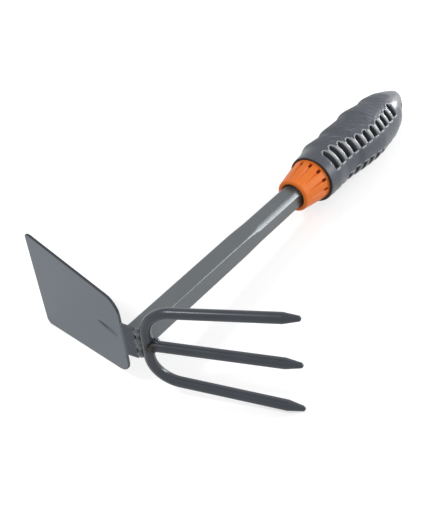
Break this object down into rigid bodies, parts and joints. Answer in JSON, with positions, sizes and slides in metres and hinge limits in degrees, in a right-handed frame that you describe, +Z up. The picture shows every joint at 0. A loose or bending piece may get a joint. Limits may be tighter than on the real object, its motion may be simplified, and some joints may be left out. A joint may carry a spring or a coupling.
{
  "type": "hand hoe and cultivator",
  "caption": "Short hand tool with a flat hoe blade opposite round cultivator prongs, on a square steel tube with a moulded grip.",
  "frame": {"origin": "under the middle of the tool as it lies on its side, on the surface it rests on", "axes": "+X from the head towards the butt of the grip, +Y towards the hoe blade, -Y towards the prongs, +Z up from the surface"},
  "size_m": [0.282, 0.1654, 0.0673],
  "materials": {
    "coated_blade": "satin grey coating",
    "coated_prongs": "dark grey coating",
    "coated_tube": "satin grey coating",
    "coated_welds": "coated weld bead",
    "orange_collar": "satin moulded plastic",
    "grip_plastic": "fine grained soft moulding",
    "core_plastic": "plain hard moulding"
  },
  "bodies": {
    "root": {"hoe_blade": "coated_blade", "prong_bow": "coated_prongs", "middle_prong": "coated_prongs", "shaft_tube": "coated_tube", "neck_weld_upper": "coated_welds", "neck_weld_lower": "coated_welds", "bow_weld_upper": "coated_welds", "bow_weld_lower": "coated_welds", "seam_weld": "coated_welds", "prong_weld_back": "coated_welds", "prong_weld_front": "coated_welds", "collar": "orange_collar", "grip_core": "core_plastic", "grip": "grip_plastic"}
  },
  "joints": []
}
